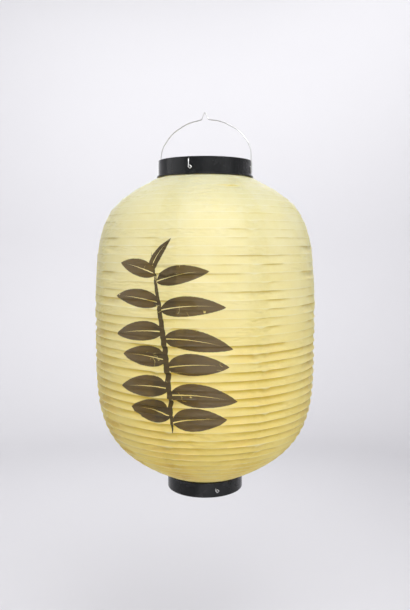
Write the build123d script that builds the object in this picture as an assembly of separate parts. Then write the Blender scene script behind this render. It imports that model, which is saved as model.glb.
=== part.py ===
from build123d import *
from math import cos, hypot, radians, sin, sqrt, tan
import os

# Accordion paper lantern: a wire-hooped paper body between two plastic rings, hung from a wire bail.
# Millimetres, +Z up. The origin is the inside of the peak in the bail, where a hook carries it.
# The bail is hinged about X. The body folds up along Z towards the top ring.

# Body
body_diameter = 360.0           # over the paper at its widest
upper_height = 263.5            # widest level up to the top ring's lower edge
lower_height = 225.0            # widest level down to the bottom ring's upper edge
upper_handle = 0.787            # how far the belly stays upright, as a share of upper_height
upper_cap = (0.863, 0.184)      # how the top cap leaves the ring: out, as a share of the step; down
lower_handle = 0.52
lower_cap = (1.0, 0.234)

# Paper
panel_count = 8
panel_seam = -45.0              # polar angle of the first seam
paper_thickness = 0.2
paper_tuck = 6.0                # length glued inside each ring
tuck_gap = 0.1

# Rib hoops
hoop_count = 45
hoop_wire = 1.0
hoop_gap = 0.8                  # between a hoop and the paper, room for the folds

# Rings
top_ring_diameter = 152.0
top_ring_height = 26.5
bottom_ring_diameter = 125.6
bottom_ring_height = 25.0
ring_wall = 2.0
flange_width = 2.6
flange_height = 2.4
rim_round = 0.6

# Wires
wire_diameter = 1.6
wire_clearance = 0.2            # radial, in every hole
wire_bend = 1.7                 # tight bends, on the centre line
wire_standoff = 0.5             # between a wire and the wall that it runs beside
eye_radius = 2.4                # of a curled end, on the centre line

# Bail
peak_height = 77.0              # inside of the peak above the top ring's rim
peak_half_angle = 22.5
peak_depth = 10.0               # from the inside of the peak down to the foot of its slopes
bail_hole_drop = 10.4           # below the top ring's rim
bail_eye_drop = 7.4             # eye below the hole
bail_stub = 4.0                 # end that stands inside the ring
bail_shoulder = (0.75, 30.0)    # share of the half width; below the peak
bail_crown = (0.39, 14.5)
bail_leg_top = 56.0             # below the peak
bail_arch_bends = (40.0, 60.0, 70.0)

# Stretchers
stretcher_angle = -90.0         # polar angle of the front wire at the top ring
stretcher_lead = 35.0           # how much further round it meets the bottom ring
top_hole_drop = 3.0
top_eye_drop = 13.0             # eye below its hole
bottom_hole_drop = 10.2         # below the bottom ring's upper edge
bottom_eye_drop = 4.3           # the eye hides its hole
stretcher_inset = 1.4           # between the wire and the inside of a ring

body_radius = body_diameter / 2
top_radius = top_ring_diameter / 2
bottom_radius = bottom_ring_diameter / 2
wire_radius = wire_diameter / 2
eye_bend = 0.98 * eye_radius
top_rim = -peak_height
upper_edge = top_rim - top_ring_height
belly = upper_edge - upper_height
lower_edge = belly - lower_height
bottom_rim = lower_edge - bottom_ring_height
bail_hole = top_rim - bail_hole_drop
stretcher_top_hole = top_rim - top_hole_drop
stretcher_bottom_hole = lower_edge - bottom_hole_drop


def polar(radius, angle, z):
    return Vector(radius * cos(radians(angle)), radius * sin(radians(angle)), z)


# The body's outline

def half_outline(ring_radius, height, handle, cap, steps=200):
    """Points (radius, rise) of one half, from the widest level to the ring, on one cubic curve."""
    step = body_radius - ring_radius
    corners = (
        (body_radius, 0.0),
        (body_radius, handle * height),
        (ring_radius + cap[0] * step, (1 - cap[1]) * height),
        (ring_radius, height),
    )
    points = []
    for k in range(steps + 1):
        t = k / steps
        weights = ((1 - t) ** 3, 3 * (1 - t) ** 2 * t, 3 * (1 - t) * t ** 2, t ** 3)
        points.append(tuple(sum(w * c[i] for w, c in zip(weights, corners)) for i in (0, 1)))
    return points


def outline():
    """Fine points (radius, z) on the outside of the paper, from ring to ring, top first."""
    upper = half_outline(top_radius, upper_height, upper_handle, upper_cap)
    lower = half_outline(bottom_radius, lower_height, lower_handle, lower_cap)
    above = [(r, belly + rise) for r, rise in reversed(upper)]
    below = [(r, belly - rise) for r, rise in lower[1:]]
    return above + below


def rib_points():
    """The outline at even steps along the paper: one point at each hoop."""
    fine = outline()
    lengths = [0.0]
    for a, b in zip(fine, fine[1:]):
        lengths.append(lengths[-1] + hypot(b[0] - a[0], b[1] - a[1]))
    pitch = lengths[-1] / (hoop_count + 1)
    print(f"paper from ring to ring {lengths[-1]:.1f} mm, rib pitch {pitch:.2f} mm")
    points = []
    k = 0
    for rib in range(1, hoop_count + 1):
        while lengths[k + 1] < rib * pitch:
            k += 1
        share = (rib * pitch - lengths[k]) / (lengths[k + 1] - lengths[k])
        points.append(tuple(a + share * (b - a) for a, b in zip(fine[k], fine[k + 1])))
    return points


def inset(points, depth):
    """The inner points of a chain moved square to it, towards the axis. The ends only lose radius."""
    moved = [(points[0][0] - depth, points[0][1])]
    for before, here, after in zip(points, points[1:], points[2:]):
        dr, dz = after[0] - before[0], after[1] - before[1]
        run = hypot(dr, dz)
        moved.append((here[0] + depth * dz / run, here[1] - depth * dr / run))
    moved.append((points[-1][0] - depth, points[-1][1]))
    return moved


ribs = rib_points()
top_tuck_radius = top_radius - ring_wall - tuck_gap
bottom_tuck_radius = bottom_radius - ring_wall - tuck_gap
paper_outside = (
    [(top_tuck_radius, upper_edge + paper_tuck), (top_tuck_radius, upper_edge - tuck_gap)]
    + ribs
    + [(bottom_tuck_radius, lower_edge + tuck_gap), (bottom_tuck_radius, lower_edge - paper_tuck)]
)


def cover_panel(index):
    """One gore of the paper, flat from rib to rib, butted to its neighbours at the seams."""
    inside = inset(paper_outside, paper_thickness)
    section = [Vector(r, 0, z) for r, z in paper_outside + inside[::-1]]
    sweep_angle = 360 / panel_count
    panel = revolve(make_face(Polyline(*section, close=True)), Axis.Z, sweep_angle)
    return Rot(0, 0, panel_seam + index * sweep_angle) * panel


def rib_hoops():
    """Hoops just inside the paper, one behind each ridge."""
    depth = paper_thickness + hoop_gap + hoop_wire / 2
    centres = inset(paper_outside, depth)[2:-2]
    return [Pos(0, 0, z) * Torus(r, hoop_wire / 2) for r, z in centres]


# Rings

def ring(radius, height, flange_end):
    """A plain band from z = 0 up, with a small flange at one end and a rounded rim at the other."""
    band = Cylinder(radius, height, align=(Align.CENTER, Align.CENTER, Align.MIN))
    rim = band.faces().sort_by(Axis.Z)[0 if flange_end == "top" else -1]
    band = fillet(rim.edges(), rim_round)
    low = height - flange_height if flange_end == "top" else 0
    flange = Cylinder(radius + flange_width, flange_height, align=(Align.CENTER, Align.CENTER, Align.MIN))
    flange = fillet(flange.edges().filter_by(GeomType.CIRCLE), rim_round)
    body = band + Pos(0, 0, low) * flange
    return body - Cylinder(radius - ring_wall, 3 * height)


def wall_holes(radius, z, angle):
    """Two small holes through opposite walls of a ring."""
    drill = Cylinder(wire_radius + wire_clearance, 3 * radius, rotation=(0, 90, 0))
    return Pos(0, 0, z) * Rot(0, 0, angle) * drill


def top_ring():
    body = Pos(0, 0, upper_edge) * ring(top_radius, top_ring_height, "bottom")
    body -= wall_holes(top_radius, bail_hole, 0)
    return body - wall_holes(top_radius, stretcher_top_hole, stretcher_angle)


def bottom_ring():
    body = Pos(0, 0, bottom_rim) * ring(bottom_radius, bottom_ring_height, "top")
    return body - wall_holes(bottom_radius, stretcher_bottom_hole, stretcher_angle + stretcher_lead)


# Wires

def wire_along(points, bends):
    """Round wire along straight runs joined by bends."""
    path = FilletPolyline(*points, radius=bends)
    section = Plane(origin=path @ 0, z_dir=path % 0) * Circle(wire_radius)
    return sweep(section, path=path)


def curl(radius, angle, z):
    """Points of a wire's end curled round against a ring's wall: an open eye beside the shank."""
    around = ((0, -1), (2, -1), (2, 1), (0.75, 1))
    centre_side = polar(1, angle + 90, 0) * eye_radius
    return [polar(radius, angle, z + up * eye_radius) + side * centre_side for side, up in around]


def bail_half(leg_x):
    """Points and bends from the stub inside the ring up to the foot of the peak."""
    side = 2 * eye_radius
    eye_level = bail_hole - bail_eye_drop
    points = [
        (top_radius - ring_wall - bail_stub, 0, bail_hole),
        (leg_x, 0, bail_hole),
        (leg_x, 0, eye_level - eye_radius),
        (leg_x, side, eye_level - eye_radius),
        (leg_x, side, bail_hole + side / 2),
        (leg_x, 0, bail_hole + 3 * side),
        (leg_x, 0, -bail_leg_top),
        (bail_shoulder[0] * leg_x, 0, -bail_shoulder[1]),
        (bail_crown[0] * leg_x, 0, -bail_crown[1]),
    ]
    bends = [wire_bend, eye_bend, eye_bend, 3 * side, 3 * side, *bail_arch_bends]
    return points, bends


def bail_wire():
    """Stub, hooked foot and leg on each side, and an arch with a small peak in its middle."""
    leg_x = top_radius + wire_standoff + wire_radius
    points, bends = bail_half(leg_x)
    apex = wire_radius + wire_bend * (1 / sin(radians(peak_half_angle)) - 1)
    foot = (apex + peak_depth) * tan(radians(peak_half_angle))
    points.append((foot, 0, -peak_depth))
    bends.append(2 * wire_bend)
    turned = [(-x, -y, z) for x, y, z in reversed(points)]
    return wire_along(points + [(0, 0, apex)] + turned, bends + [wire_bend] + bends[::-1])


def stretcher_wire(angle):
    """A long wire inside the body, hooked out through a hole in each ring to an eye outside."""
    foot_angle = angle + stretcher_lead
    outside = wire_standoff + wire_radius
    inside = ring_wall + stretcher_inset + wire_radius - outside
    top_out = top_radius + outside
    bottom_out = bottom_radius + outside
    across = [
        polar(top_out, angle, stretcher_top_hole),
        polar(top_radius - inside - outside, angle, stretcher_top_hole),
        polar(bottom_radius - inside - outside, foot_angle, stretcher_bottom_hole),
        polar(bottom_out, foot_angle, stretcher_bottom_hole),
    ]
    head = curl(top_out, angle, stretcher_top_hole - top_eye_drop)[::-1]
    foot = curl(bottom_out, foot_angle, stretcher_bottom_hole - bottom_eye_drop)
    curl_bends = [eye_bend] * 3
    return wire_along(head + across + foot, curl_bends + [wire_bend] * 4 + curl_bends)


def save(shape, node):
    export_step(shape, f"parts/{node}.step")


os.makedirs("parts", exist_ok=True)
save(bail_wire(), "bail_wire")
save(top_ring(), "top_ring")
save(bottom_ring(), "bottom_ring")
save(stretcher_wire(stretcher_angle), "stretcher_wire_front")
save(stretcher_wire(stretcher_angle + 180), "stretcher_wire_back")
for index in range(panel_count):
    save(cover_panel(index), f"cover_panel_{index + 1}")
for number, hoop in enumerate(rib_hoops(), 1):
    save(hoop, f"rib_hoop_{number:02d}")
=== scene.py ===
import math
import bpy
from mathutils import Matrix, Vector


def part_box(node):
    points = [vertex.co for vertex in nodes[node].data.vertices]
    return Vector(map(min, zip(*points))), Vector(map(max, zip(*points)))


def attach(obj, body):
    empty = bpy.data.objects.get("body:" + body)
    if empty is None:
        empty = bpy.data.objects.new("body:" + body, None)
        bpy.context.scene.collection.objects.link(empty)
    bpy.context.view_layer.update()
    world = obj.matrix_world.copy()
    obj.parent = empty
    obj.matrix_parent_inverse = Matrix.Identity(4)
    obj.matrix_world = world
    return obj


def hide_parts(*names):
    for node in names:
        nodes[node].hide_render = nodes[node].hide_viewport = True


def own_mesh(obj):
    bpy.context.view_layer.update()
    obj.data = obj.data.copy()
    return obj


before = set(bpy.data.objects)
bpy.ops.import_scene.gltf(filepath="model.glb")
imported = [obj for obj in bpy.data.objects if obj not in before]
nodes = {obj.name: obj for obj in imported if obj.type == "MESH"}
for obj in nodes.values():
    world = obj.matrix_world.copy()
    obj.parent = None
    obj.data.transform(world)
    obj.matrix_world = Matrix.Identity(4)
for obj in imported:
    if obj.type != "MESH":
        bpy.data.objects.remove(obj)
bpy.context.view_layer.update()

# Accordion paper lantern: folded paper on wire hoops, two plastic rings, wire bail and stretchers.
# Metres, +Z up, origin where the hook carries the bail.

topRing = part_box("top_ring")
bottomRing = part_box("bottom_ring")
upperEdge = topRing[0].z        # paper leaves the top ring here
lowerEdge = bottomRing[1].z     # and enters the bottom ring here
rim = topRing[1].z

body = {
    "topRadius": 0.076,
    "bottomRadius": 0.0628,
    "bellyRadius": 0.180,
    "bellyDrop": 0.2635,            # below the top ring
    "upperHandle": 0.787,           # how upright the sides stay, as a share of the half height
    "upperCap": (0.863, 0.184),     # how the cap leaves the ring: out and down, as shares
    "lowerHandle": 0.52,
    "lowerCap": (1.0, 0.234),
    "ribs": 45,
    "gores": 8,
}


# ---- node helpers

class Graph:
    # adds nodes to a tree and joins them up
    def __init__(self, tree):
        self.tree = tree

    def feed(self, socket, value):
        if isinstance(value, bpy.types.Node):
            value = value.outputs[0]
        if isinstance(value, bpy.types.NodeSocket):
            self.tree.links.new(value, socket)
        else:
            socket.default_value = value

    def add(self, kind, inputs=None, **settings):
        node = self.tree.nodes.new(kind)
        for name, value in settings.items():
            setattr(node, name, value)
        for name, value in (inputs or {}).items():
            self.feed(node.inputs[name], value)
        return node

    def math(self, operation, *values, clamp=False):
        node = self.add("ShaderNodeMath", operation=operation, use_clamp=clamp)
        for socket, value in zip(node.inputs, values):
            self.feed(socket, value)
        return node.outputs[0]

    def vector(self, operation, *values):
        node = self.add("ShaderNodeVectorMath", operation=operation)
        for socket, value in zip(node.inputs, values):
            self.feed(socket, value)
        return node.outputs[0]

    def join(self, x, y, z):
        return self.add("ShaderNodeCombineXYZ", {"X": x, "Y": y, "Z": z}).outputs[0]

    def split(self, value):
        return self.add("ShaderNodeSeparateXYZ", {0: value}).outputs

    def span(self, value, low, high, toLow=0.0, toHigh=1.0, smooth=False):
        kind = "SMOOTHSTEP" if smooth else "LINEAR"
        inputs = {"Value": value, "From Min": low, "From Max": high, "To Min": toLow, "To Max": toHigh}
        return self.add("ShaderNodeMapRange", inputs, interpolation_type=kind).outputs[0]

    def noise(self, at, scale, detail=1.0, roughness=0.5):
        inputs = {"Vector": at, "Scale": scale, "Detail": detail, "Roughness": roughness}
        return self.add("ShaderNodeTexNoise", inputs).outputs[0]


def newGeometryTree(name, sizes):
    tree = bpy.data.node_groups.new(name, "GeometryNodeTree")
    tree.interface.new_socket("Geometry", in_out="INPUT", socket_type="NodeSocketGeometry")
    for label, kind in sizes.items():
        tree.interface.new_socket(label, in_out="INPUT", socket_type="NodeSocket" + kind)
    tree.interface.new_socket("Geometry", in_out="OUTPUT", socket_type="NodeSocketGeometry")
    graph = Graph(tree)
    size = {socket.name: socket for socket in graph.add("NodeGroupInput").outputs}
    return tree, graph, size


def endTree(graph, geometry, material):
    real = graph.add("GeometryNodeRealizeInstances", {0: geometry})
    painted = graph.add("GeometryNodeSetMaterial", {"Geometry": real, "Material": material})
    smooth = graph.add("GeometryNodeSetShadeSmooth", {"Geometry": painted})
    graph.add("NodeGroupOutput", {0: smooth})


def runTree(name, tree, values, start=None):
    # evaluates the tree once and keeps the result as a plain mesh
    piece = bpy.data.objects.new(name, start or bpy.data.meshes.new(name))
    bpy.context.scene.collection.objects.link(piece)
    modifier = piece.modifiers.new("nodes", "NODES")
    modifier.node_group = tree
    for item in tree.interface.items_tree:
        if item.in_out == "INPUT" and item.name in values:
            modifier[item.identifier] = values[item.name]
    return freeze(piece)


def freeze(piece):
    # swaps live modifiers for their result
    result = piece.evaluated_get(bpy.context.evaluated_depsgraph_get())
    mesh = bpy.data.meshes.new_from_object(result)
    piece.modifiers.clear()
    piece.data = mesh
    mesh.name = piece.name
    return piece


def paint(piece, material):
    piece.data.materials.clear()
    piece.data.materials.append(material)


# ---- materials

def newMaterial(name):
    material = bpy.data.materials.new(name)
    material.use_nodes = True
    graph = Graph(material.node_tree)
    shader = material.node_tree.nodes["Principled BSDF"]
    return material, graph, shader


def newShaderGroup(name, inputs, outputs):
    tree = bpy.data.node_groups.new(name, "ShaderNodeTree")
    for label, kind in inputs.items():
        tree.interface.new_socket(label, in_out="INPUT", socket_type="NodeSocket" + kind)
    for label, kind in outputs.items():
        tree.interface.new_socket(label, in_out="OUTPUT", socket_type="NodeSocket" + kind)
    graph = Graph(tree)
    given = {socket.name: socket for socket in graph.add("NodeGroupInput").outputs}
    return tree, graph, given


def mixColour(graph, share, first, second):
    node = graph.add("ShaderNodeMix", data_type="RGBA")
    graph.feed(node.inputs[0], share)
    graph.feed(node.inputs[6], first)
    graph.feed(node.inputs[7], second)
    return node.outputs[2]


def tint(graph, share, colour, by):
    # multiplies the colour by another, by a share
    node = graph.add("ShaderNodeMix", data_type="RGBA", blend_type="MULTIPLY", clamp_factor=True)
    graph.feed(node.inputs[0], share)
    graph.feed(node.inputs[6], colour)
    graph.feed(node.inputs[7], by)
    return node.outputs[2]


def objectPoint(graph):
    return graph.add("ShaderNodeTexCoord").outputs["Object"]


def wearGroup():
    # blotches and fine scratches, for plastic and wire alike
    tree, graph, given = newShaderGroup(
        "wear",
        {"Blotch Scale": "Float", "Scratch Scale": "Float", "Stretch": "Vector"},
        {"Blotch": "Float", "Scratch": "Float"},
    )
    at = objectPoint(graph)
    blotch = graph.noise(at, given["Blotch Scale"], 3.0, 0.6)
    drawn = graph.vector("MULTIPLY", at, given["Stretch"])
    fine = graph.noise(drawn, given["Scratch Scale"], 2.0, 0.7)
    graph.add("NodeGroupOutput", {"Blotch": blotch, "Scratch": graph.span(fine, 0.56, 0.72)})
    return tree


def addWear(graph, tree, blotchScale, scratchScale, stretch):
    node = graph.add("ShaderNodeGroup", node_tree=tree)
    node.inputs["Blotch Scale"].default_value = blotchScale
    node.inputs["Scratch Scale"].default_value = scratchScale
    node.inputs["Stretch"].default_value = stretch
    return node


ringFinish = {
    "colour": (0.0075, 0.008, 0.0085, 1.0),
    "dust": (0.022, 0.0225, 0.023, 1.0),
    "roughness": (0.18, 0.34),
    "sheen": (0.30, 0.30, 0.31, 1.0),
}


def ringPlastic(wear):
    material, graph, shader = newMaterial("ringPlastic")
    marks = addWear(graph, wear, 34.0, 150.0, (1.0, 1.0, 0.12))
    dusty = graph.span(marks.outputs["Blotch"], 0.48, 0.78, 0.0, 0.45)
    dusty = graph.math("ADD", dusty, graph.math("MULTIPLY", marks.outputs["Scratch"], 0.12))
    colour = mixColour(graph, dusty, ringFinish["colour"], ringFinish["dust"])
    graph.feed(shader.inputs["Base Color"], colour)
    low, high = ringFinish["roughness"]
    graph.feed(shader.inputs["Roughness"], graph.span(marks.outputs["Blotch"], 0.35, 0.75, low, high))
    shader.inputs["Specular Tint"].default_value = ringFinish["sheen"]
    ripple = graph.noise(graph.vector("MULTIPLY", objectPoint(graph), (1.0, 1.0, 0.5)), 55.0, 2.0)
    bump = graph.add("ShaderNodeBump", {"Strength": 0.12, "Distance": 0.002, "Height": ripple})
    graph.feed(shader.inputs["Normal"], bump.outputs[0])
    return material


wireFinish = {
    "bright": ((0.58, 0.58, 0.57, 1.0), (0.36, 0.35, 0.34, 1.0), 0.28, 0.45),
    "dull": ((0.76, 0.64, 0.34, 1.0), (0.50, 0.40, 0.20, 1.0), 0.38, 0.62),
}


def steelWire(name, wear, finish):
    clean, tarnish, low, high = wireFinish[finish]
    material, graph, shader = newMaterial(name)
    marks = addWear(graph, wear, 70.0, 900.0, (1.0, 1.0, 0.08))
    spots = graph.span(marks.outputs["Blotch"], 0.5, 0.75)
    graph.feed(shader.inputs["Base Color"], mixColour(graph, spots, clean, tarnish))
    shader.inputs["Metallic"].default_value = 1.0
    rough = graph.span(marks.outputs["Blotch"], 0.3, 0.75, low, high)
    graph.feed(shader.inputs["Roughness"], rough)
    bump = graph.add("ShaderNodeBump", {"Strength": 0.3, "Distance": 0.0002})
    graph.feed(bump.inputs["Height"], marks.outputs["Scratch"])
    graph.feed(shader.inputs["Normal"], bump.outputs[0])
    return material


# ---- the painted sprig

sprig = {
    "angle": -88.5,         # polar angle of its middle, degrees
    "drop": 0.290,          # of its middle, along the paper from the top ring
    "stemHeight": 0.262,
    "stemWidth": 0.012,
    "stemBend": 0.09,
    "stemLean": 0.035,      # to the left, as a share of its height
    "foot": 0.006,          # right of the middle
    "pairs": 6,
    "firstPair": 0.016,     # height of the lowest leaf above the foot
    "pairStep": 0.0405,
    "leafLength": 0.096,
    "leafWidth": 0.050,
    "vein": 0.0010,
    "ragged": 0.0009,       # how far the brush strays at a leaf's edge
    "stagger": 0.010,       # how much higher each left leaf starts
    "leftShare": (0.86, 0.92),      # its length and width beside the right leaf's
    "leafBend": (0.16, -0.20),      # of the left and right leaves
    "tip": (74.0, 0.054, 0.020, -0.3),      # angle, length, width and bend of the top leaf
    "tipBelow": 0.03,       # its root, below the top of the stem
    "lean": (15.0, 6.0, 12.0, 3.0, 14.0, 22.0),          # how far each pair points up
    "grow": (0.82, 1.00, 0.90, 1.02, 0.96, 0.80),        # length of each pair
}


def leafGroup():
    # a pointed, bent leaf drawn on the paper, with a thin gap along its vein
    tree, graph, given = newShaderGroup(
        "leaf",
        {"Point": "Vector", "Root": "Vector", "Angle": "Float", "Length": "Float",
         "Width": "Float", "Bend": "Float", "Vein": "Float"},
        {"Mask": "Float"},
    )
    away = graph.vector("SUBTRACT", given["Point"], given["Root"])
    turn = graph.add("ShaderNodeVectorRotate", {"Vector": away}, rotation_type="Z_AXIS")
    graph.feed(turn.inputs["Angle"], graph.math("MULTIPLY", given["Angle"], -1.0))
    x, y, _ = graph.split(turn)
    along = graph.math("DIVIDE", x, given["Length"])
    inside = graph.math("MULTIPLY", graph.math("GREATER_THAN", along, 0.0),
                        graph.math("LESS_THAN", along, 1.0))
    safe = graph.math("ADD", along, 0.0, clamp=True)
    lift = graph.math("MULTIPLY", graph.math("MULTIPLY", safe, safe),
                      graph.math("MULTIPLY", given["Bend"], given["Length"]))
    off = graph.math("ABSOLUTE", graph.math("SUBTRACT", y, lift))
    shape = graph.math("MULTIPLY", graph.math("POWER", safe, 0.55),
                       graph.math("POWER", graph.math("SUBTRACT", 1.0, safe), 0.85))
    half = graph.math("MULTIPLY", graph.math("MULTIPLY", shape, given["Width"]), 0.93)
    blade = graph.span(graph.math("SUBTRACT", half, off), -0.00008, 0.00008)
    gap = graph.math("MULTIPLY", graph.math("SUBTRACT", 0.8, safe), given["Vein"])
    open_ = graph.span(graph.math("SUBTRACT", off, gap), -0.00008, 0.00008)
    mask = graph.math("MULTIPLY", graph.math("MULTIPLY", blade, open_), inside)
    graph.add("NodeGroupOutput", {"Mask": mask})
    return tree


def leafList():
    # (root, angle, length, width, bend, vein) of the stem and every leaf, about the sprig's middle
    height = sprig["stemHeight"]
    foot = (sprig["foot"], -height / 2)
    bend = sprig["stemBend"]
    leftLong, leftWide = sprig["leftShare"]
    leftBend, rightBend = sprig["leafBend"]
    vein = sprig["vein"]
    leaves = [(foot, 92.0, height, sprig["stemWidth"], bend, -0.0003)]
    for number in range(sprig["pairs"]):
        rise = sprig["firstPair"] + number * sprig["pairStep"]
        share = rise / height
        x = foot[0] - sprig["stemLean"] * rise - bend * height * share * share
        y = foot[1] + rise
        length = sprig["leafLength"] * sprig["grow"][number]
        width = sprig["leafWidth"] * (1.0 - 0.05 * number)
        lean = sprig["lean"][number]
        leaves.append(((x - 0.001, y + sprig["stagger"]), 180.0 - lean,
                       leftLong * length, leftWide * width, leftBend, vein))
        leaves.append(((x + 0.002, y), lean, length, width, rightBend, vein))
    tip = (foot[0] - sprig["stemLean"] * height - bend * height, height / 2 - sprig["tipBelow"])
    leaves.append((tip, *sprig["tip"], vein))
    return leaves


def sprigMask(graph, point):
    tree = leafGroup()
    brushed = graph.noise(point, 240.0, 2.0)
    shift = graph.math("MULTIPLY", graph.math("SUBTRACT", brushed, 0.5), sprig["ragged"])
    point = graph.vector("ADD", point, graph.join(shift, shift, 0.0))
    total = None
    for root, angle, length, width, bend, vein in leafList():
        node = graph.add("ShaderNodeGroup", {"Point": point}, node_tree=tree)
        node.inputs["Root"].default_value = (root[0], root[1], 0.0)
        node.inputs["Angle"].default_value = math.radians(angle)
        node.inputs["Length"].default_value = length
        node.inputs["Width"].default_value = width
        node.inputs["Bend"].default_value = bend
        node.inputs["Vein"].default_value = vein
        total = node.outputs[0] if total is None else graph.math("MAXIMUM", total, node.outputs[0])
    return total


paperFinish = {
    "paleLitTop": (0.84, 0.745, 0.33, 1.0),      # painted highlight: paler near the top ring, where most light falls
    "colour": (0.875, 0.70, 0.225, 1.0),
    "shadedBottom": (0.88, 0.615, 0.12, 1.0),       # painted shade: darker and deeper near the bottom ring
    "mottle": (0.95, 0.90, 0.74, 1.0),      # multiplies the colour in blotches
    "hollow": (0.84, 0.73, 0.34, 1.0),      # painted shade: the dark band under each ridge
    "double": (1.0, 0.985, 0.93, 1.0),      # and where two layers overlap
    "ridge": (0.92, 0.82, 0.42, 1.0),       # painted highlight: paler along each rib
    "print": (0.062, 0.037, 0.008, 1.0),
    "printWorn": (0.115, 0.074, 0.024, 1.0),
    "printGloss": 0.22,
    "translucence": 0.6,
    "specular": 0.2,
    "paleLitTopSpan": (0.02, 0.26),       # where the painted highlight turns to the plain colour, down the paper
    "shadedBottomSpan": (0.24, 0.48),     # and the plain colour to the deeper painted shade
    "mottleScale": 22.0,
    "fibreScale": 420.0,
    "rippleScale": 130.0,
    "scratchScale": 55.0,
    "scratchPatches": 34.0,
    "roughness": (0.40, 0.52),
    "bump": 0.0006,
}


def paperMaterial():
    material, graph, shader = newMaterial("coatedPaper")
    at = graph.add("ShaderNodeAttribute", attribute_name="paperAt").outputs["Vector"]
    fold = graph.split(graph.add("ShaderNodeAttribute", attribute_name="foldAndShadeAt").outputs["Vector"])
    point = objectPoint(graph)
    arc, drop, layers = graph.split(at)

    mottle = graph.noise(point, paperFinish["mottleScale"], 4.0, 0.6)
    fibre = graph.noise(graph.vector("MULTIPLY", point, (1.0, 1.0, 2.5)), paperFinish["fibreScale"], 3.0, 0.7)
    # painted highlight and shade: paler near the top ring, deeper towards the bottom ring
    paleLitTop = graph.span(drop, *paperFinish["paleLitTopSpan"])
    upper = mixColour(graph, paleLitTop, paperFinish["paleLitTop"], paperFinish["colour"])
    colour = mixColour(graph, graph.span(drop, *paperFinish["shadedBottomSpan"]), upper, paperFinish["shadedBottom"])
    tone = graph.math("ADD", graph.span(mottle, 0.35, 0.7, 0.0, 0.6),
                      graph.span(fibre, 0.3, 0.7, -0.1, 0.3))
    colour = tint(graph, tone, colour, paperFinish["mottle"])
    # painted shade: darker, deeper colour in the band under each ridge
    colour = tint(graph, fold[1], colour, paperFinish["hollow"])
    # painted highlight: a pale line along each rib
    ridge = graph.span(fold[0], 0.0, 0.2, 0.4, 0.0, smooth=True)
    colour = mixColour(graph, ridge, colour, paperFinish["ridge"])
    colour = tint(graph, layers, colour, paperFinish["double"])

    centred = graph.join(arc, graph.math("SUBTRACT", sprig["drop"], drop), 0.0)
    leaves = sprigMask(graph, centred)
    threads = graph.noise(centred, paperFinish["scratchScale"], 1.0)
    thread = graph.math("ABSOLUTE", graph.math("SUBTRACT", threads, 0.5))
    sparse = graph.span(graph.noise(point, paperFinish["scratchPatches"], 2.0), 0.61, 0.65)
    scratch = graph.math("MULTIPLY", graph.span(thread, 0.007, 0.002), sparse)
    inked = graph.math("SUBTRACT", leaves, graph.math("MULTIPLY", scratch, 0.75), clamp=True)
    worn = graph.math("ADD", graph.span(fold[0], 0.0, 0.12, 0.55, 0.0),
                      graph.span(mottle, 0.5, 0.8, 0.0, 0.4))
    ink = mixColour(graph, worn, paperFinish["print"], paperFinish["printWorn"])
    colour = mixColour(graph, inked, colour, ink)
    graph.feed(shader.inputs["Base Color"], colour)

    matte = graph.span(mottle, 0.3, 0.7, *paperFinish["roughness"])
    graph.feed(shader.inputs["Roughness"], matte)
    graph.feed(shader.inputs["Coat Weight"], graph.math("MULTIPLY", inked, paperFinish["printGloss"]))
    shader.inputs["Coat Roughness"].default_value = 0.22
    shader.inputs["Specular IOR Level"].default_value = paperFinish["specular"]
    shader.inputs["Subsurface Weight"].default_value = paperFinish["translucence"]
    shader.inputs["Subsurface Radius"].default_value = (0.004, 0.003, 0.0012)
    shader.inputs["Subsurface Scale"].default_value = 1.0
    rippled = graph.noise(graph.vector("MULTIPLY", point, (1.0, 1.0, 1.8)),
                          paperFinish["rippleScale"], 2.0, 0.5)
    height = graph.math("ADD", graph.math("MULTIPLY", fibre, 0.10), rippled)
    bump = graph.add("ShaderNodeBump", {
        "Strength": 0.25, "Distance": paperFinish["bump"], "Height": height})
    graph.feed(shader.inputs["Normal"], bump.outputs[0])
    return material


# ---- paper

paper = {
    "Gore Angle": math.radians(360.0 / body["gores"]),
    "Overlap": math.radians(11.25),    # a quarter of a gore, so the columns of both layers line up
    "First Seam": math.radians(-45.0),
    "Tuck Step": 0.0021,            # how far the paper steps in to pass inside a ring
    "Layer Lift": 0.00012,
    "Fold Depth": 0.0014,
    "Crease Depth": 0.0011,
    "Pucker Depth": 0.0018,
    "Pucker Width": math.radians(7.0),
    "Rows": 12,                     # to each fold
    "Columns": 76,
    "Skew": 1.3,                    # crowds the rows, and the hollow, under each ridge
    "Seed": 4.0,
}
foldNoise = {
    # scale of each noise; "around" is the radius of the circle it is read on
    "slow": 1.1,                    # how deep each fold is
    "wavy": 1.2, "wavyAround": 7.0,         # where folds sag
    "lean": 1.9,                    # which side of the middle a hollow is deepest
    "broken": 1.0, "brokenAround": 2.6,     # where folds on the top cap come and go
    "vein": 1.3, "veinAround": 3.2,         # long creases
    "patch": 2.3,                   # where there are creases
    "ruffle": 1.25, "ruffleAround": 16.0,   # puckers beside the seams
}
paperThickness = 0.0001
sharpEdge = math.radians(65.0)      # keeps a gore's cut edge crisp


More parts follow.
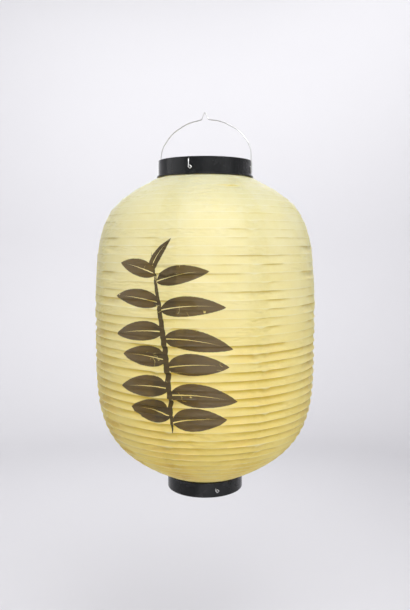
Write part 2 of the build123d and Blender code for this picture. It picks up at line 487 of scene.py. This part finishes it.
def paperTree():
    sizes = {"Top": "Vector", "Top Handle": "Vector", "Shoulder Handle": "Vector", "Belly": "Vector",
             "Hip Handle": "Vector", "Bottom Handle": "Vector", "Bottom": "Vector", "Ribs": "Int",
             "Start": "Float", "Gore Angle": "Float", "Overlap": "Float", "First Seam": "Float",
             "Tuck Step": "Float", "Layer Lift": "Float", "Fold Depth": "Float", "Crease Depth": "Float",
             "Pucker Depth": "Float", "Pucker Width": "Float", "Rows": "Int", "Columns": "Int",
             "Skew": "Float", "Seed": "Float", "Radius": "Float", "Sprig Angle": "Float",
             "Material": "Material"}
    tree, graph, size = newGeometryTree("foldedPaper", sizes)
    upper = graph.add("GeometryNodeCurvePrimitiveBezierSegment", {
        "Resolution": 200, "Start": size["Top"], "Start Handle": size["Top Handle"],
        "End Handle": size["Shoulder Handle"], "End": size["Belly"]})
    lower = graph.add("GeometryNodeCurvePrimitiveBezierSegment", {
        "Resolution": 200, "Start": size["Belly"], "Start Handle": size["Hip Handle"],
        "End Handle": size["Bottom Handle"], "End": size["Bottom"]})
    outline = graph.add("GeometryNodeJoinGeometry")
    graph.feed(outline.inputs[0], lower)
    graph.feed(outline.inputs[0], upper)
    length = graph.add("GeometryNodeCurveLength", {0: outline}).outputs[0]
    folds = graph.math("ADD", size["Ribs"], 1.0)
    pitch = graph.math("DIVIDE", length, folds)

    # a flat grid: across is the way round the gore, down is the way along it, with half a fold tucked
    # into each ring
    rowCount = graph.math("ADD", graph.math("MULTIPLY", graph.math("ADD", folds, 1.0), size["Rows"]), 1.0)
    grid = graph.add("GeometryNodeMeshGrid", {
        "Size X": 1.0, "Size Y": 1.0, "Vertices X": size["Columns"], "Vertices Y": rowCount})
    flat = graph.split(graph.add("GeometryNodeInputPosition"))
    across = graph.math("ADD", flat[0], 0.5)
    down = graph.math("SUBTRACT", 0.5, flat[1])
    span = graph.math("ADD", size["Gore Angle"], size["Overlap"])
    turned = graph.math("MULTIPLY", across, span)
    angle = graph.math("ADD", size["Start"], turned)
    even = graph.math("SUBTRACT", graph.math("MULTIPLY", down, graph.math("ADD", folds, 1.0)), 0.5)
    rung = graph.math("FLOOR", even)
    fraction = graph.math("FRACT", even)
    phase = graph.math("ADD", rung, graph.math("POWER", fraction, size["Skew"]))
    along = graph.math("MULTIPLY", phase, pitch)
    between = graph.add("ShaderNodeClamp", {"Value": along, "Min": 0.0, "Max": length}).outputs[0]
    excess = graph.math("SUBTRACT", along, between)

    sample = graph.add("GeometryNodeSampleCurve", {"Curves": outline}, mode="LENGTH", use_all_curves=True)
    graph.feed(sample.inputs["Length"], between)
    place = graph.split(sample.outputs["Position"])
    tangent = graph.split(sample.outputs["Tangent"])
    nearTop = graph.math("SUBTRACT", 1.0, phase, clamp=True)
    nearBottom = graph.math("SUBTRACT", phase, graph.math("SUBTRACT", folds, 1.0), clamp=True)
    nearEnds = graph.math("ADD", nearTop, nearBottom)
    radius = graph.math("SUBTRACT", place[0], graph.math("MULTIPLY", nearEnds, size["Tuck Step"]))
    level = graph.math("SUBTRACT", place[2], excess)
    cosine = graph.math("COSINE", angle)
    sine = graph.math("SINE", angle)

    # how the paper lies between two ribs: hollow, deeper lower down, skewed, never quite the same twice
    seed = size["Seed"]
    roundSlow = graph.join(cosine, sine, graph.math("ADD", graph.math("MULTIPLY", rung, 3.71), seed))
    slow = graph.noise(roundSlow, foldNoise["slow"], 1.0)
    fromSeam = graph.math("SUBTRACT", angle, size["First Seam"])
    wrapped = graph.math("WRAP", fromSeam, graph.math("MULTIPLY", size["Gore Angle"], 0.5),
                         graph.math("MULTIPLY", size["Gore Angle"], -0.5))
    seamAway = graph.math("ABSOLUTE", wrapped)
    atSeam = graph.span(seamAway, graph.math("MULTIPLY", size["Pucker Width"], 0.35), size["Pucker Width"],
                        1.0, 0.0, smooth=True)
    wide = foldNoise["wavyAround"]
    roundQuick = graph.join(graph.math("MULTIPLY", cosine, wide), graph.math("MULTIPLY", sine, wide),
                            graph.math("ADD", graph.math("MULTIPLY", rung, 5.3), seed))
    wavy = graph.noise(roundQuick, foldNoise["wavy"], 1.0)
    skewed = graph.noise(graph.vector("ADD", roundSlow, (9.3, 4.1, 2.7)), foldNoise["lean"], 1.0)
    share = graph.math("DIVIDE", along, length)
    lean = graph.math("ADD", graph.span(skewed, 0.3, 0.7, -0.35, 0.35),
                      graph.span(share, 0.3, 0.8, 0.35, -0.3))
    sag = graph.math("MULTIPLY", graph.span(wavy, 0.42, 0.72, 0.0, 0.34),
                     graph.math("MULTIPLY_ADD", atSeam, 0.75, 0.25))
    fallen = graph.math("DIVIDE", graph.math("SUBTRACT", fraction, sag), graph.math("SUBTRACT", 1.0, sag),
                        clamp=True)
    fromEnd = graph.math("SUBTRACT", 1.0, fallen)
    shifted = graph.math("MULTIPLY_ADD", graph.math("MULTIPLY", fallen, fromEnd), lean, fallen)
    hollow = graph.math("MULTIPLY", graph.math("MULTIPLY", shifted, 4.0),
                        graph.math("SUBTRACT", 1.0, shifted))
    tucked = graph.math("MULTIPLY", graph.math("ABSOLUTE", excess), 1e6)
    onPaper = graph.math("SUBTRACT", 1.0, tucked, clamp=True)
    hollow = graph.math("MULTIPLY", hollow, onPaper)
    slack = graph.math("ADD", graph.span(share, 0.08, 0.66, 0.45, 2.1, smooth=True),
                       graph.span(share, 0.88, 1.0, 0.0, -0.8, smooth=True))
    beside = graph.math("MULTIPLY", size["Gore Angle"], 0.15)
    midGore = graph.math("MULTIPLY", size["Gore Angle"], 0.45)
    slack = graph.math("MULTIPLY", slack, graph.span(seamAway, beside, midGore, 1.5, 0.45, smooth=True))
    wide = foldNoise["brokenAround"]
    roundShort = graph.join(graph.math("MULTIPLY", cosine, wide), graph.math("MULTIPLY", sine, wide),
                            graph.math("MULTIPLY_ADD", rung, 4.3, seed))
    broken = graph.span(graph.noise(roundShort, foldNoise["broken"], 2.0), 0.44, 0.60, 0.3, 2.2)
    broken = graph.math("MULTIPLY_ADD", graph.math("SUBTRACT", broken, 1.0),
                        graph.span(share, 0.3, 0.6, 1.0, 0.3), 1.0)
    uneven = graph.math("MULTIPLY_ADD", graph.math("SUBTRACT", share, 0.6), 0.28, slow)
    fullness = graph.math("MULTIPLY", graph.span(uneven, 0.36, 0.66, 0.2, 1.35), slack)
    fullness = graph.math("MULTIPLY", fullness, broken)
    depth = graph.math("MULTIPLY", fullness, size["Fold Depth"])
    atRings = graph.math("MULTIPLY", nearEnds, 0.6)
    depth = graph.math("MULTIPLY", depth, graph.math("SUBTRACT", 1.0, atRings))

    # long creases that wander across a fold, and puckers beside each seam
    wide = foldNoise["veinAround"]
    wander = graph.join(graph.math("MULTIPLY", cosine, wide), graph.math("MULTIPLY", sine, wide),
                        graph.math("ADD", graph.math("MULTIPLY", phase, 1.6), seed))
    vein = graph.noise(wander, foldNoise["vein"], 2.0, 0.6)
    sharp = graph.math("SUBTRACT", 1.0, graph.math("MULTIPLY", graph.math(
        "ABSOLUTE", graph.math("SUBTRACT", vein, 0.5)), 15.0), clamp=True)
    patch = graph.noise(graph.vector("ADD", roundSlow, (1.7, 8.2, 0.3)), foldNoise["patch"], 1.0)
    patch = graph.span(patch, 0.45, 0.6)
    patch = graph.math("MAXIMUM", patch, graph.math("MULTIPLY", atSeam, 0.6))
    crease = graph.math("MULTIPLY", graph.math("MULTIPLY", sharp, patch), size["Crease Depth"])
    wide = foldNoise["ruffleAround"]
    quick = graph.join(graph.math("MULTIPLY", cosine, wide), graph.math("MULTIPLY", sine, wide),
                       graph.math("ADD", graph.math("MULTIPLY", phase, 1.35), seed))
    ruffle = graph.math("SUBTRACT", graph.noise(quick, foldNoise["ruffle"], 2.0, 0.55), 0.45)
    loose = graph.math("MULTIPLY", atSeam, graph.span(share, 0.1, 0.45, 0.25, 1.0))
    pucker = graph.math("MULTIPLY", graph.math("MULTIPLY", ruffle, loose),
                        graph.math("MULTIPLY", size["Pucker Depth"], 2.0))
    relief = graph.math("SUBTRACT", graph.math("ADD", crease, pucker), depth)
    relief = graph.math("MULTIPLY", relief, hollow)
    lift = graph.math("MULTIPLY", size["Layer Lift"], graph.span(
        turned, graph.math("SUBTRACT", size["Gore Angle"], 0.026),
        graph.math("SUBTRACT", size["Gore Angle"], 0.003), 0.0, 1.0, smooth=True))
    lift = graph.math("MULTIPLY", lift, graph.span(share, 0.25, 0.5, 0.3, 1.0))
    out = graph.math("ADD", relief, graph.math("MULTIPLY", lift, onPaper))

    outR = graph.math("MULTIPLY", graph.math("MULTIPLY", tangent[2], -1.0), out)
    outZ = graph.math("MULTIPLY", tangent[0], out)
    finalR = graph.math("ADD", radius, outR)
    finalZ = graph.math("ADD", level, outZ)
    where = graph.join(graph.math("MULTIPLY", cosine, finalR), graph.math("MULTIPLY", sine, finalR), finalZ)

    # where each point is on the paper, kept for the print, the folds and the painted shade under each ridge
    sprigTurn = graph.math("WRAP", graph.math("SUBTRACT", angle, size["Sprig Angle"]), math.pi, -math.pi)
    half = graph.math("MULTIPLY", size["Overlap"], 0.5)
    double = graph.span(seamAway, graph.math("SUBTRACT", half, 0.002),
                        graph.math("ADD", half, 0.002), 1.0, 0.0)
    paperAt = graph.join(graph.math("MULTIPLY", sprigTurn, size["Radius"]), along, double)
    # painted shade: a band just under each ridge, wider lower down, that the material darkens
    shade = graph.span(share, 0.3, 0.62, 0.3, 0.76)
    shadeUnderRidge = graph.math("MULTIPLY", graph.span(fraction, 0.0, 0.08), graph.span(
        fraction, graph.math("MULTIPLY", shade, 0.35), shade, 1.0, 0.0, smooth=True))
    shadeUnderRidge = graph.math("MULTIPLY", graph.math("MULTIPLY", shadeUnderRidge, onPaper), graph.span(fullness, 0.15, 1.5))
    foldAndShadeAt = graph.join(hollow, shadeUnderRidge, 0.0)
    named = graph.add("GeometryNodeStoreNamedAttribute", {
        "Geometry": grid, "Name": "paperAt", "Value": paperAt}, data_type="FLOAT_VECTOR", domain="POINT")
    named = graph.add("GeometryNodeStoreNamedAttribute", {
        "Geometry": named, "Name": "foldAndShadeAt", "Value": foldAndShadeAt}, data_type="FLOAT_VECTOR", domain="POINT")
    moved = graph.add("GeometryNodeSetPosition", {"Geometry": named, "Position": where})
    endTree(graph, moved, size["Material"])
    return tree


def outlinePoints():
    # the corners of the two cubic curves that the paper's outline follows
    belly = upperEdge - body["bellyDrop"]
    lowerHeight = belly - lowerEdge
    widest = body["bellyRadius"]
    out, down = body["upperCap"]
    outLow, upLow = body["lowerCap"]
    stepTop = widest - body["topRadius"]
    stepBottom = widest - body["bottomRadius"]
    return {
        "Top": (body["topRadius"], 0.0, upperEdge),
        "Top Handle": (body["topRadius"] + out * stepTop, 0.0, upperEdge - down * body["bellyDrop"]),
        "Shoulder Handle": (widest, 0.0, belly + body["upperHandle"] * body["bellyDrop"]),
        "Belly": (widest, 0.0, belly),
        "Hip Handle": (widest, 0.0, belly - body["lowerHandle"] * lowerHeight),
        "Bottom Handle": (body["bottomRadius"] + outLow * stepBottom, 0.0, lowerEdge + upLow * lowerHeight),
        "Bottom": (body["bottomRadius"], 0.0, lowerEdge),
    }


def makePaper(material):
    tree = paperTree()
    values = dict(paper)
    values.update(outlinePoints())
    values.update({"Ribs": body["ribs"], "Radius": body["bellyRadius"], "Material": material,
                   "Sprig Angle": math.radians(sprig["angle"])})
    for index in range(body["gores"]):
        values["Start"] = paper["First Seam"] - paper["Overlap"] / 2 + index * paper["Gore Angle"]
        gore = runTree(f"paper_gore_{index + 1}", tree, values)
        wall = gore.modifiers.new("wall", "SOLIDIFY")
        wall.thickness = paperThickness
        wall.offset = -1.0
        freeze(gore)
        gore.data.set_sharp_from_angle(angle=sharpEdge)
        paint(gore, material)
        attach(gore, "upper")
        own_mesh(gore)
        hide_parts(f"cover_panel_{index + 1}")


# ---- wires

wire = {"Radius": 0.0008, "Sides": 16, "Bend Steps": 10}
stretcher = {
    "angle": -90.0,         # polar angle at the top ring
    "lead": 35.0,           # how much further round it meets the bottom ring
    "topHole": 0.003,       # below the rim
    "topEye": 0.013,        # below its hole
    "bottomHole": 0.0102,   # below the ring's upper edge
    "bottomEye": 0.0043,
    "eyeRadius": 0.0024,
    "tightBend": 0.0017,
    "standoff": 0.0013,     # wire's middle outside a ring
    "inset": 0.0042,        # wire's middle inside a ring's outside
    "straightEnd": 0.012,   # of the shaft, kept from the squash
    "lap": 0.0005,          # shaft into each end
}


def wireTree():
    tree, graph, size = newGeometryTree("roundWire", {
        "Radius": "Float", "Sides": "Int", "Bend Steps": "Int", "Material": "Material"})
    given = next(node for node in tree.nodes if node.bl_idname == "NodeGroupInput").outputs[0]
    curve = graph.add("GeometryNodeMeshToCurve", {0: given})
    bend = graph.add("GeometryNodeInputNamedAttribute", {"Name": "bend"}, data_type="FLOAT")
    rounded = graph.add("GeometryNodeFilletCurve", {
        "Curve": curve, "Radius": bend.outputs[0], "Limit Radius": True})
    if "Count" in rounded.inputs:
        rounded.mode = "POLY"
        graph.feed(rounded.inputs["Count"], size["Bend Steps"])
    ring = graph.add("GeometryNodeCurvePrimitiveCircle", {
        "Resolution": size["Sides"], "Radius": size["Radius"]})
    tube = graph.add("GeometryNodeCurveToMesh", {
        "Curve": rounded, "Profile Curve": ring.outputs["Curve"], "Fill Caps": True})
    endTree(graph, tube, size["Material"])
    return tree


def wirePath(name, points, bends):
    # a chain of edges; each point keeps the radius of its bend
    mesh = bpy.data.meshes.new(name)
    mesh.from_pydata(points, [(i, i + 1) for i in range(len(points) - 1)], [])
    mesh.attributes.new("bend", "FLOAT", "POINT").data.foreach_set("value", bends)
    return mesh


def polar(radius, degrees, z):
    return Vector((radius * math.cos(math.radians(degrees)), radius * math.sin(math.radians(degrees)), z))


def curl(radius, degrees, z):
    # a wire's end curled round beside its shank
    eye = stretcher["eyeRadius"]
    side = polar(eye, degrees + 90, 0.0)
    return [polar(radius, degrees, z + up * eye) + over * side
            for over, up in ((0, -1), (2, -1), (2, 1), (0.75, 1))]


def makeStretcher(name, tree, degrees, node, material):
    foot = degrees + stretcher["lead"]
    holeTop = rim - stretcher["topHole"]
    holeBottom = lowerEdge - stretcher["bottomHole"]
    outTop = body["topRadius"] + stretcher["standoff"]
    outBottom = body["bottomRadius"] + stretcher["standoff"]
    inTop = polar(body["topRadius"] - stretcher["inset"], degrees, holeTop)
    inBottom = polar(body["bottomRadius"] - stretcher["inset"], foot, holeBottom)
    slope = (inBottom - inTop).normalized()
    tight = stretcher["tightBend"]
    eyeBend = 0.98 * stretcher["eyeRadius"]
    short = stretcher["straightEnd"]
    hook = [*curl(outTop, degrees, holeTop - stretcher["topEye"])[::-1],
            polar(outTop, degrees, holeTop), inTop, inTop + slope * short]
    tail = [*curl(outBottom, foot, holeBottom - stretcher["bottomEye"])[::-1],
            polar(outBottom, foot, holeBottom), inBottom, inBottom - slope * short]
    bends = [0.0, eyeBend, eyeBend, eyeBend, tight, tight, 0.0]
    lapped = short - stretcher["lap"]
    shaft = [inTop + slope * lapped, inBottom - slope * lapped]
    values = {"Radius": wire["Radius"], "Sides": wire["Sides"], "Bend Steps": wire["Bend Steps"],
              "Material": material}
    pieces = [
        (runTree(name + "_hook", tree, values, wirePath(name + "_hook", hook, bends)), "upper"),
        (runTree(name + "_tail", tree, values, wirePath(name + "_tail", tail, bends)), "lower"),
        (runTree(name + "_shaft", tree, values, wirePath(name + "_shaft", shaft, [0.0, 0.0])), "upper"),
    ]
    for piece, rides in pieces:
        paint(piece, material)
        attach(piece, rides)
        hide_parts(node)
    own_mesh(pieces[2][0])


# ---- stage, light and camera

stage = {
    "floor": -1.35,
    "flatRadius": 2.6,
    "sweep": 1.2,           # radius of the curve up to the wall
    "sweepSteps": 12,
    "sides": 96,
    "height": 4.2,
    "colour": (0.685, 0.68, 0.70, 1.0),
    "cloud": 0.985,         # how much darker the floor gets in places
}


def makeStage():
    # a pale floor that sweeps up into a round wall
    material, graph, shader = newMaterial("stagePaper")
    soft = graph.noise(objectPoint(graph), 1.5, 2.0)
    pale = stage["colour"]
    darker = tuple(stage["cloud"] * value for value in pale[:3]) + (1.0,)
    graph.feed(shader.inputs["Base Color"], mixColour(graph, soft, pale, darker))
    shader.inputs["Roughness"].default_value = 0.9
    profile = [(0.0, 0.0), (stage["flatRadius"], 0.0)]
    for step in range(1, stage["sweepSteps"] + 1):
        turn = math.radians(90.0 * step / stage["sweepSteps"])
        profile.append((stage["flatRadius"] + stage["sweep"] * math.sin(turn),
                        stage["sweep"] * (1 - math.cos(turn))))
    profile.append((profile[-1][0], stage["height"]))
    sides = stage["sides"]
    points = [(0.0, 0.0, stage["floor"])]
    faces = []
    for radius, height in profile[1:]:
        for k in range(sides):
            turn = 2 * math.pi * k / sides
            points.append((radius * math.cos(turn), radius * math.sin(turn), stage["floor"] + height))
    for k in range(sides):
        faces.append((0, 1 + k, 1 + (k + 1) % sides))
        for row in range(len(profile) - 2):
            a, b = 1 + row * sides, 1 + (row + 1) * sides
            faces.append((a + k, b + k, b + (k + 1) % sides, a + (k + 1) % sides))
    mesh = bpy.data.meshes.new("floor")
    mesh.from_pydata(points, [], faces)
    mesh.polygons.foreach_set("use_smooth", [True] * len(faces))
    floor = bpy.data.objects.new("floor", mesh)
    bpy.context.scene.collection.objects.link(floor)
    paint(floor, material)


lights = [
    # name, power, size, spread, place, target
    ("key", 52.0, 1.7, 150.0, (0.80, -1.55, 1.50), (0.0, 0.0, -0.40)),
    ("leftFill", 14.0, 2.4, 150.0, (-2.1, -1.3, 0.0), (0.0, 0.0, -0.4)),
    ("rightFill", 8.0, 1.8, 150.0, (2.0, -0.7, -0.6), (0.0, 0.0, -0.45)),
    ("lowFill", 22.0, 2.2, 150.0, (0.9, -1.9, -1.0), (0.0, 0.0, -0.45)),
    ("backFill", 12.0, 2.4, 150.0, (-0.7, 2.0, 0.5), (0.0, 0.0, -0.35)),
    ("backdropLeft", 14.0, 1.6, 95.0, (-1.1, 1.3, 2.3), (-2.0, 3.1, -0.3)),
    ("backdropRight", 12.5, 1.6, 95.0, (0.5, 1.7, 2.3), (-0.1, 3.7, 1.1)),
]
sky = {"colour": (0.97, 0.97, 1.0, 1.0), "strength": 0.5}


def makeLights():
    for name, power, width, spread, place, target in lights:
        lamp = bpy.data.lights.new(name, "AREA")
        lamp.shape = "DISK"
        lamp.size = width
        lamp.energy = power
        lamp.spread = math.radians(spread)
        holder = bpy.data.objects.new(name, lamp)
        holder.location = place
        holder.rotation_euler = (Vector(target) - Vector(place)).to_track_quat("-Z", "Y").to_euler()
        holder.visible_camera = False
        bpy.context.scene.collection.objects.link(holder)
    world = bpy.data.worlds.new("sky")
    world.use_nodes = True
    world.node_tree.nodes["Background"].inputs["Color"].default_value = sky["colour"]
    world.node_tree.nodes["Background"].inputs["Strength"].default_value = sky["strength"]
    bpy.context.scene.world = world
    bpy.context.scene.view_settings.view_transform = "Standard"


camera = {"azimuth": 19.0, "distance": 1.093, "drop": 0.1288, "pitch": 5.5, "lens": 39.04, "sensor": 36.0}


def makeCamera():
    data = bpy.data.cameras.new("camera")
    data.sensor_width = camera["sensor"]
    data.lens = camera["lens"]
    data.clip_start, data.clip_end = 0.05, 40.0
    holder = bpy.data.objects.new("camera", data)
    around = math.radians(camera["azimuth"])
    holder.location = (camera["distance"] * math.sin(around), -camera["distance"] * math.cos(around),
                       rim - camera["drop"])
    holder.rotation_euler = (math.radians(90.0 - camera["pitch"]), 0.0, around)
    bpy.context.scene.collection.objects.link(holder)
    bpy.context.scene.camera = holder


makeCamera()
makeStage()
makeLights()
print("stage: camera, floor and lights")

wear = wearGroup()
ringMaterial = ringPlastic(wear)
brightWire = steelWire("brightWire", wear, "bright")
hoopWire = steelWire("hoopWire", wear, "dull")
for name in ("top_ring", "bottom_ring"):
    paint(nodes[name], ringMaterial)
paint(nodes["bail_wire"], brightWire)
for name, node in nodes.items():
    if name.startswith("rib_hoop"):
        paint(node, hoopWire)
print("stage: ring, wire and hoop finishes")

makePaper(paperMaterial())
print("stage: paper gores")

wireNodes = wireTree()
makeStretcher("stretcher_front", wireNodes, stretcher["angle"], "stretcher_wire_front", brightWire)
makeStretcher("stretcher_back", wireNodes, stretcher["angle"] + 180.0, "stretcher_wire_back", brightWire)
print("stage: stretchers")
